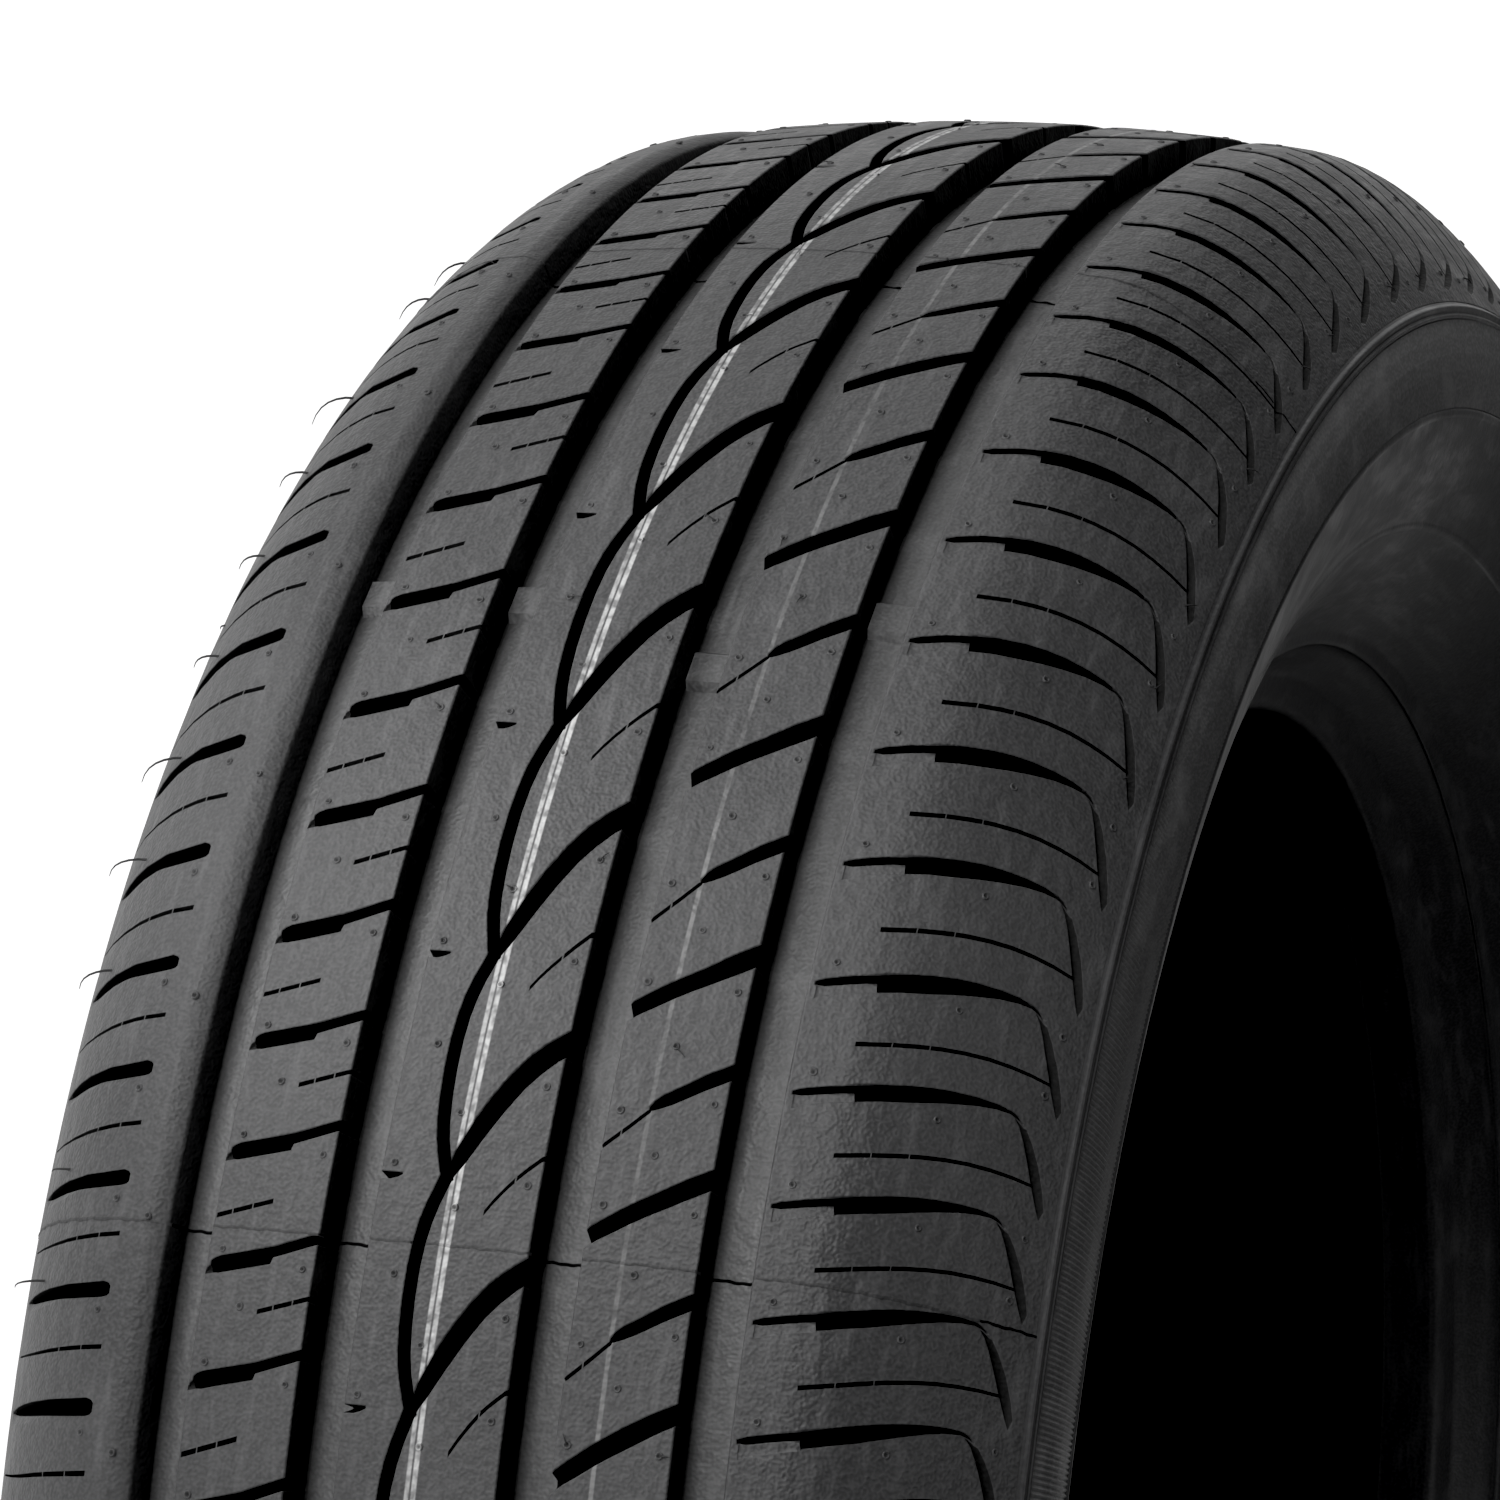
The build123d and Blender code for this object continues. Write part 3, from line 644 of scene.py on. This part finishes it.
def turned(name, rows, mat, flip=False, segs=M):
    """ring surface from a section of (y, r)"""
    rows = np.array(rows, float)
    ph = np.linspace(0, 2 * math.pi, segs, endpoint=False)
    co = np.stack([np.outer(rows[:, 1], np.cos(ph)), -np.outer(rows[:, 1], np.sin(ph)), np.outer(rows[:, 0] + WIDE_Y, np.ones(segs))], 2)
    k = len(rows)
    co = co.reshape(-1, 3) / 1000
    i, j = np.meshgrid(np.arange(k - 1), np.arange(segs), indexing="ij")
    a, b = i * segs + j, i * segs + (j + 1) % segs
    c, e = a + segs, b + segs
    tri = np.concatenate([np.stack([a, b, c], -1).reshape(-1, 3), np.stack([b, e, c], -1).reshape(-1, 3)])
    if flip:
        tri = tri[:, ::-1]
    ob = make(name, co, tri, mat=mat)
    set_normals(ob, weighted(co, tri))
    return ob


mirror = lambda rows: [(-y, r) for y, r in rows]
turned("sidewall_right", outside(1), side_mat)
turned("sidewall_left", mirror(outside(-1)), side_mat, True)
liner_rows = [BEAD[-1]] + in_half + mirror(in_half)[-2::-1] + mirror(BEAD[-1:])
turned("liner", liner_rows, liner_mat, segs=240)


# ---- serrated bands under the ridges ------------------------------------------
def serrated(name, sgn, teeth=1560):
    """fine radial teeth"""
    lo, hi = BAND
    rows = [(lo, -0.6, 0.0), (lo + 0.3, -0.42, 0.40), (7.6, -0.42, 0.40), (11.6, -0.42, 0.40), (15.6, -0.42, 0.40), (20.0, -0.42, 0.40), (hi - 0.3, -0.42, 0.40), (hi, -0.6, 0.0)]
    ph0 = np.linspace(0, 2 * math.pi, teeth * 2, endpoint=False)
    zig = np.tile([0.0, 1.0], teeth)
    co = []
    for b, h, amp in rows:
        p0, p1 = on_side(b, h, sgn), on_side(b, h + 1.0, sgn)
        y, r = p0[0] + (p1[0] - p0[0]) * amp * zig, p0[1] + (p1[1] - p0[1]) * amp * zig
        ph = ph0
        co.append(np.stack([r * np.cos(ph), -r * np.sin(ph), sgn * y + WIDE_Y], 1))
    co = np.vstack(co) / 1000
    segs = teeth * 2
    i, j = np.meshgrid(np.arange(len(rows) - 1), np.arange(segs), indexing="ij")
    a, b = i * segs + j, i * segs + (j + 1) % segs
    c, e = a + segs, b + segs
    tri = np.concatenate([np.stack([a, b, c], -1).reshape(-1, 3), np.stack([b, e, c], -1).reshape(-1, 3)])
    if sgn < 0:
        tri = tri[:, ::-1]
    return make(name, co, tri, smooth=False, mat=band_sheen_mat)


serrated("band_right", 1)
serrated("band_left", -1)


# ---- trimmed vents and whiskers ------------------------------------------------
def axes(a, u, depth=0.0):
    """point on the tread (mm) with its outward, round and across directions"""
    y, r, ny, nr = (float(q[0]) for q in surf(np.array([a])))
    ph = float(phase(u))
    n = np.array([nr * math.cos(ph), -nr * math.sin(ph), ny])
    t = np.array([-math.sin(ph), -math.cos(ph), 0])
    return np.array([r * math.cos(ph), -r * math.sin(ph), y + WIDE_Y]) - n * depth, n, t, np.cross(t, n)


def craters(name, spots, mat):
    """small round moulded marks with a sunk middle: (a, u, radius, height)"""
    cos, tris, base, K = [], [], 0, 9
    w = np.linspace(0, 2 * math.pi, K, endpoint=False)
    for a0, u0, rad0, hgt in spots:
        c, n, t, b = axes(a0, u0)
        rows = [c + n * h + rad0 * q * (np.outer(np.cos(w), t) + np.outer(np.sin(w), b)) for q, h in ((1.25, -0.08), (1.02, hgt * 0.8), (0.8, hgt), (0.5, hgt * 0.15))]
        cos.append(np.vstack(rows + [(c - n * 0.02)[None]]))
        for i in range(3):
            for j in range(K):
                p, q2 = base + i * K + j, base + i * K + (j + 1) % K
                tris += [(p, q2, p + K), (q2, q2 + K, p + K)]
        tris += [(base + 3 * K + j, base + 3 * K + (j + 1) % K, base + 4 * K) for j in range(K)]
        base += 4 * K + 1
    co, tri = np.vstack(cos) / 1000, np.array(tris)
    nrm = np.cross(co[tri[:, 1]] - co[tri[:, 0]], co[tri[:, 2]] - co[tri[:, 0]])
    if (nrm * co[tri].mean(1) * np.array([1, 1, 0])).sum() < 0:
        tri = tri[:, ::-1]
    ob = make(name, co, tri, mat=mat)
    set_normals(ob, weighted(co, tri))
    # painted shade in each vent's sunk middle
    paint_darkening(ob, np.tile([0.0] * (3 * K) + [0.02] * K + [0.05], len(spots)))
    return ob


def whiskers(name, hairs, mat):
    """thin tapering tails left at the vents: (a, u, length, lean across, lean round, thickness)"""
    cos, tris, base, K, R = [], [], 0, 5, 7
    w = np.linspace(0, 2 * math.pi, K, endpoint=False)
    for a0, u0, size, across, round_, thick in hairs:
        c, n, t, b = axes(a0, u0)
        way = across * b + round_ * t
        way /= np.linalg.norm(way)
        q = np.linspace(0, 1, R)[:, None]
        line = c - n * 0.2 + n * size * 0.30 * np.sin(q * 2.3) + way * size * q ** 1.25
        tan_ = np.gradient(line, axis=0)
        tan_ /= np.linalg.norm(tan_, axis=1)[:, None]
        side_ = np.cross(tan_, n)
        side_ /= np.linalg.norm(side_, axis=1)[:, None]
        up_ = np.cross(side_, tan_)
        rad_ = thick / 2 * (1 - 0.75 * q[:, 0] ** 1.5)
        cos.append((line[:, None] + rad_[:, None, None] * (np.cos(w)[None, :, None] * side_[:, None] + np.sin(w)[None, :, None] * up_[:, None])).reshape(-1, 3))
        cos.append(line[-1:] + tan_[-1:] * 0.15)
        for i in range(R - 1):
            for j in range(K):
                p, q2 = base + i * K + j, base + i * K + (j + 1) % K
                tris += [(p, p + K, q2), (q2, p + K, q2 + K)]
        tris += [(base + (R - 1) * K + j, base + R * K, base + (R - 1) * K + (j + 1) % K) for j in range(K)]
        base += R * K + 1
    co, tri = np.vstack(cos) / 1000, np.array(tris)
    ob = make(name, co, tri, mat=mat)
    set_normals(ob, weighted(co, tri))
    paint_darkening(ob, np.full(len(co), 0.035))
    return ob


spots, hairs = [], []
rng = np.random.default_rng(4)
for n in range(N):
    row = [(-13.0, 0.02), (-9.1, 0.55), (1.1, 0.85), (-1.3, 0.25), (15.0, 0.97), (15.0, 0.40),
           (30.6, 0.92), (30.6, 0.33), (39.0, 0.155), (39.0, 0.64), (48.7, 0.91), (48.7, 0.40), (-64.3, 0.71), (-40.6, 0.34), (115.6, 0.106), (114.2, 0.81)]
    for k in (0.0, 0.5):
        row += [(-46.4, k + 0.09), (-28.4, k + 0.032), (-72.3, k + 0.275), (66.5, k + 0.09), (91.8, k + 0.018)]
        if rng.random() < 0.6:
            hairs.append((-92.5 + rng.normal(0, 1.2), n + k - 0.085 + rng.normal(0, 0.02), rng.uniform(4.0, 13.0), -1.0, rng.normal(-0.12, 0.15), 0.55))
        if rng.random() < 0.3:
            hairs.append((-100.5 + rng.normal(0, 0.8), n + k + 0.14 + rng.normal(0, 0.02), rng.uniform(2.0, 4.5), -1.0, rng.normal(0.0, 0.25), 0.45))
        if rng.random() < 0.5:
            hairs.append((115.2 + rng.normal(0, 0.8), n + k + 0.30 + rng.normal(0, 0.02), rng.uniform(1.5, 4.0), 0.6, rng.normal(0.6, 0.4), 0.4))
    for a, u in row:
        spots.append((a, n + u + rng.normal(0, 0.004), rng.uniform(0.6, 0.78), rng.uniform(0.18, 0.34)))
        if abs(a) < 60 and rng.random() < 0.13:
            hairs.append((a, spots[-1][1], rng.uniform(1.6, 3.2), rng.normal(0, 1), rng.normal(0, 1), 0.42))
craters("vents", spots, tread_mat)
whiskers("vent_whiskers", hairs, tread_mat)


# ---- parting lines of the mould -------------------------------------------------
def parting(name, angles, mat):
    """thin raised seams straight across the tread"""
    cos, tris, base, seam_shade = [], [], 0, []
    for ph in angles:
        u = pitch_at(ph)
        edge = [A_L + 0.4, A_R + 0.2] + [g for row in GROOVES for g, _, _ in row]
        a = np.unique(np.round(np.r_[np.arange(A_L + 0.4, A_R, 0.35), edge], 3))
        s = np.full_like(a, (u % 1.0) * P)
        dep = depth_at(a, s, cuts)
        wob = 0.10 * np.sin(a * 0.9 + ph * 7) + 0.06 * np.sin(a * 2.3)
        high = np.where(dep > 4.0, 0.45, 0.16) * (0.75 + 0.25 * np.sin(a * 1.7 + ph))
        for off, up in ((-0.36, -0.03), (0.0, 1.0), (0.36, -0.03)):
            uu = u + (wob + off) / lengths[int(u) % N]
            cos.append(place(a, uu, dep - (high if up == 1.0 else np.full_like(a, up))) * 1000)
        # painted shade: across the groove floors and past a = 108 the seam is painted black as a shaded crack,
        # elsewhere only faintly darkened
        seam_shade += [np.where((dep > 4.0) | (a > 108.0), 1.0, 0.02)] * 3
        m_ = len(a)
        i = np.arange(m_ - 1)
        for r_ in range(2):
            p = base + r_ * m_ + i
            tris.append(np.stack([p, p + 1, p + m_], 1))
            tris.append(np.stack([p + 1, p + m_ + 1, p + m_], 1))
        base += 3 * m_
    co, tri = np.vstack(cos) / 1000, np.vstack(tris)
    ob = make(name, co, outward(co, tri), mat=mat)
    set_normals(ob, weighted(co, outward(co, tri)))
    seam_shade = np.concatenate(seam_shade)
    paint_darkening(ob, seam_shade)
    ob.data.materials.append(black_shade_mat)
    ob.data.polygons.foreach_set("material_index", (seam_shade[tri].min(1) > 0.2).astype(np.int32))
    return ob


SEAM0 = 0.4425
parting("parting_lines", [SEAM0 + 2 * math.pi * i / 8 for i in range(8)], tread_mat)


# ---- wear bars across the groove floors ------------------------------------------
def bars(name, angles, mat):
    cos, tris, base = [], [], 0
    for i, ph in enumerate(angles):
        for g, shift in zip(GROOVES, (0.005, 0.0, -0.045, 0.008)):
            floor_ = [a for a, deep, _ in g if deep == 8.0]
            lo, hi = floor_[0] - 0.1, floor_[-1] + 0.1
            lo2, hi2 = lo - 0.2, hi + 0.3
            u = pitch_at(ph + shift)
            scale = lengths[int(u) % N]
            rows = []
            for off, dep in ((-5.2, 8.05), (-3.6, 6.4), (3.6, 6.4), (5.2, 8.05)):
                a = np.linspace(lo2 if dep < 8 else lo, hi2 if dep < 8 else hi, 3)
                rows.append(place(a, np.full(3, u + off / scale), np.full(3, dep)) * 1000)
            cos.append(np.vstack(rows))
            for r_ in range(3):
                for c_ in range(2):
                    p = base + r_ * 3 + c_
                    tris += [(p, p + 1, p + 3), (p + 1, p + 4, p + 3)]
            base += 12
    co, tri = np.vstack(cos) / 1000, np.array(tris)
    return make(name, co, outward(co, tri), smooth=False, mat=mat)


bars("wear_bars", [0.877 + 2 * math.pi * i / 6 for i in range(6)], groove_lightened_mat)

# ---- stage -------------------------------------------------------------------
bpy.ops.mesh.primitive_plane_add(size=14, location=(0, 0, 0))
floor = bpy.context.object
floor.name = "floor"
fm = bpy.data.materials.new("floor")
fm.use_nodes = True
fb = fm.node_tree.nodes["Principled BSDF"]
fb.inputs["Base Color"].default_value = (0.88, 0.88, 0.88, 1)
fb.inputs["Roughness"].default_value = 0.7
fb.inputs["Emission Color"].default_value = (1, 1, 1, 1)
ft = fm.node_tree
# the floor glows as a light panel; inside the tyre's contact ring the glow drops almost to nothing, a painted shade
# under the tyre
fpos = ft.nodes.new("ShaderNodeNewGeometry")
flen = ft.nodes.new("ShaderNodeVectorMath")
flen.operation = "LENGTH"
fmap = ft.nodes.new("ShaderNodeMapRange")
fmap.clamp = True
ft.links.new(fpos.outputs["Position"], flen.inputs[0])
ft.links.new(flen.outputs["Value"], fmap.inputs["Value"])
for k, v in (("From Min", 0.2755), ("From Max", 0.2825), ("To Min", 0.02), ("To Max", 1.0)):
    fmap.inputs[k].default_value = v
fdis = ft.nodes.new("ShaderNodeVectorMath")
fdis.operation = "DISTANCE"
ft.links.new(fpos.outputs["Position"], fdis.inputs[0])
fdis.inputs[1].default_value = (0.39, -0.345, 0.0)
# a glowing pool of light painted on the floor beside the tread, up to 5.5 times the panel's glow
pool = ft.nodes.new("ShaderNodeMapRange")
pool.clamp = True
pool.interpolation_type = "SMOOTHSTEP"
ft.links.new(fdis.outputs["Value"], pool.inputs["Value"])
for k, v in (("From Min", 0.21), ("From Max", 0.02), ("To Min", 1.0), ("To Max", 5.5)):
    pool.inputs[k].default_value = v
both = ft.nodes.new("ShaderNodeMath")
both.operation = "MULTIPLY"
ft.links.new(fmap.outputs[0], both.inputs[0])
ft.links.new(pool.outputs[0], both.inputs[1])
ft.links.new(both.outputs[0], fb.inputs["Emission Strength"])
floor.data.materials.append(fm)
floor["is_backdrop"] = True


def area(name, loc, target, size, power):
    light = bpy.data.lights.new(name, "AREA")
    light.shape = "RECTANGLE"
    light.size, light.size_y = size
    light.energy = power
    ob = bpy.data.objects.new(name, light)
    ob.location = loc
    ob.rotation_euler = (Vector(target) - Vector(loc)).to_track_quat("-Z", "Y").to_euler()
    bpy.context.scene.collection.objects.link(ob)
    return ob


area("key", (1.5, -1.5, 0.22), (0.2, -0.2, 0.1), (0.9, 0.4), 11)
area("top", (0.4, -0.8, 2.8), (0, 0, 0), (2.4, 2.4), 13)

world = bpy.data.worlds.new("studio")
world.use_nodes = True
wt = world.node_tree
sky = wt.nodes["Background"]
sky.inputs["Color"].default_value = (1, 1, 1, 1)
way = wt.nodes.new("ShaderNodeTexCoord")
part = wt.nodes.new("ShaderNodeSeparateXYZ")
fall = wt.nodes.new("ShaderNodeMapRange")
fall.clamp = True
wt.links.new(way.outputs["Generated"], part.inputs[0])
wt.links.new(part.outputs[2], fall.inputs["Value"])
for k, v in (("From Min", 0.0), ("From Max", 0.3), ("To Min", 0.9), ("To Max", 0.05)):
    fall.inputs[k].default_value = v
wt.links.new(fall.outputs[0], sky.inputs["Strength"])
bpy.context.scene.world = world
view = bpy.context.scene.view_settings
view.view_transform = "Standard"
view.use_curve_mapping = True
view.curve_mapping.black_level = (0.006, 0.006, 0.006)
view.curve_mapping.update()

# ---- camera ------------------------------------------------------------------
cam = bpy.data.cameras.new("camera")
cam.sensor_width = 36.0
cam.lens = 149.19
cam.shift_x, cam.shift_y = -0.0201, -0.0278
cam.clip_start, cam.clip_end = 0.05, 50
cam.dof.use_dof = False
co_ = bpy.data.objects.new("camera", cam)
right, up, back = Vector((-0.3539, 0, 0.9353)), Vector((-0.1486, -0.9873, -0.0562)), Vector((0.9234, -0.1589, 0.3494))
m = Matrix((right, up, back)).transposed().to_4x4()
m.translation = (1.3572, -0.4328, 0.5766)
co_.matrix_world = m
bpy.context.scene.collection.objects.link(co_)
bpy.context.scene.camera = co_

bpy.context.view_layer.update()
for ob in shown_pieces():
    print(ob.name, len(ob.data.polygons))
